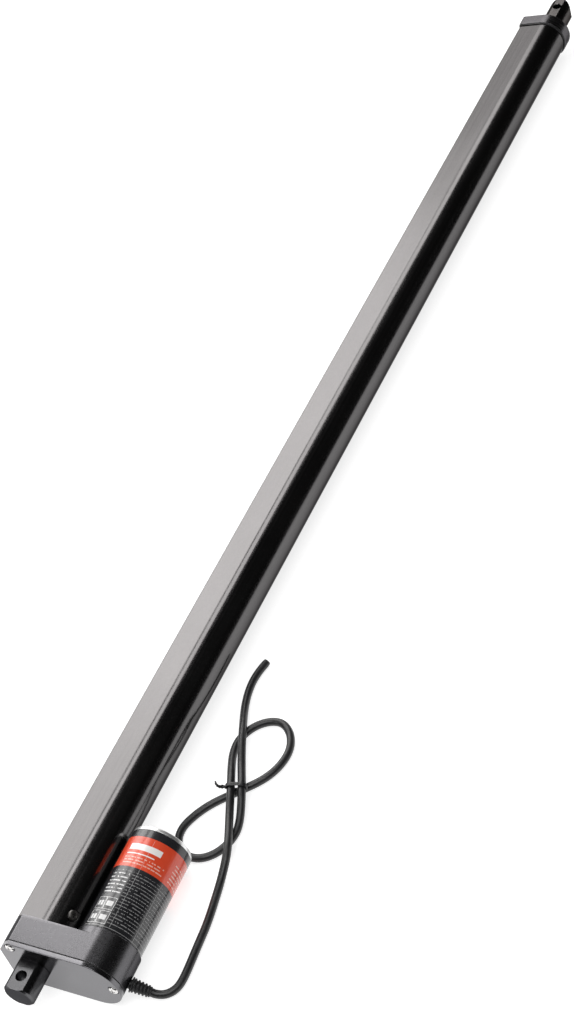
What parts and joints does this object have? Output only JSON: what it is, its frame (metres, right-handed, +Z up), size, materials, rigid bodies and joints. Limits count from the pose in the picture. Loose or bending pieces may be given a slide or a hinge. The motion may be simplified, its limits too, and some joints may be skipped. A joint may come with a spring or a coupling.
{
  "type": "linear actuator",
  "caption": "Electric linear actuator: tapered dark tube with a sliding rod and pin eye, flat gearbox with a rear clevis, side motor with a banded sleeve, and a loose bare-ended cable.",
  "frame": {"origin": "centre of the rear clevis's flat end face, on the rod's axis", "axes": "+Y along the rod's axis in the direction it extends, +X from the rod's axis towards the motor, +Z up, normal to the gearbox's flat top"},
  "size_m": [0.1014, 0.9055, 0.04],
  "materials": {
    "graphite": "dark graphite anodised, semi-gloss",
    "tube": "dark grey anodised extrusion, satin",
    "steel": "bright steel",
    "rod_steel": "polished steel rod",
    "eye_metal": "grey steel",
    "silver": "pale zinc-plated steel",
    "brass": "machined",
    "copper": "enamelled copper",
    "rubber": "black moulded rubber",
    "label": "glossy black film with a red-orange band",
    "nylon": "natural acetal",
    "dark_plastic": "black moulded plastic",
    "board": "green circuit board",
    "magnet": "sintered ferrite",
    "cord": "black cable jacket",
    "tie": "black plastic-coated wire"
  },
  "bodies": {
    "housing": {"rear_cover": "graphite", "cover_gasket": "rubber", "rear_clevis": "graphite", "gearbox_housing": "graphite", "cover_screw_1": "steel", "cover_screw_2": "steel", "cover_screw_3": "steel", "outer_tube": "tube", "tube_screw": "steel", "front_cap": "graphite", "front_gasket": "rubber", "guide_bush": "nylon", "rod_wiper": "rubber", "idler_axle": "steel", "rear_bearing": "steel", "front_bearing": "steel", "motor_can": "steel", "motor_label_sleeve": "label", "motor_end_cap": "silver", "magnet_upper": "magnet", "magnet_lower": "magnet", "brush_holder": "dark_plastic", "brush_left": "magnet", "brush_right": "magnet", "motor_front_bush": "brass", "motor_rear_bush": "brass", "limit_switch_board": "board", "limit_switch_rear": "dark_plastic", "limit_switch_front": "dark_plastic", "strain_relief": "rubber", "power_cable": "cord", "twist_tie": "tie"},
    "rod": {"inner_rod": "rod_steel", "rod_end": "eye_metal", "drive_nut": "nylon"},
    "screw": {"lead_screw": "steel", "output_gear": "nylon"},
    "idler": {"idler_gear": "nylon"},
    "armature": {"motor_shaft": "steel", "pinion": "brass", "armature_core": "steel", "armature_winding": "copper", "commutator": "copper"}
  },
  "joints": [
    {"name": "rod_slide", "type": "slide", "parent": "housing", "child": "rod", "axis": [0, 1, 0], "range_m": [0, 0.762]},
    {"name": "screw_spin", "type": "hinge", "parent": "housing", "child": "screw", "pos_m": [0, 0.032, 0], "axis": [0, 1, 0], "range_deg": [0, 68580.01]},
    {"name": "idler_spin", "type": "hinge", "parent": "housing", "child": "idler", "pos_m": [0.02048, 0.028, 0], "axis": [0, 1, 0], "range_deg": [-263769.24, 0]},
    {"name": "motor_spin", "type": "hinge", "parent": "housing", "child": "armature", "pos_m": [0.03673, 0.08, 0], "axis": [0, 1, 0], "range_deg": [0, 1055076.93]}
  ],
  "couplings": [
    {"joint": "screw_spin", "follows": "rod_slide", "rad_per_m": 1570.8},
    {"joint": "idler_spin", "follows": "rod_slide", "rad_per_m": -6041.5},
    {"joint": "motor_spin", "follows": "rod_slide", "rad_per_m": 24166}
  ]
}
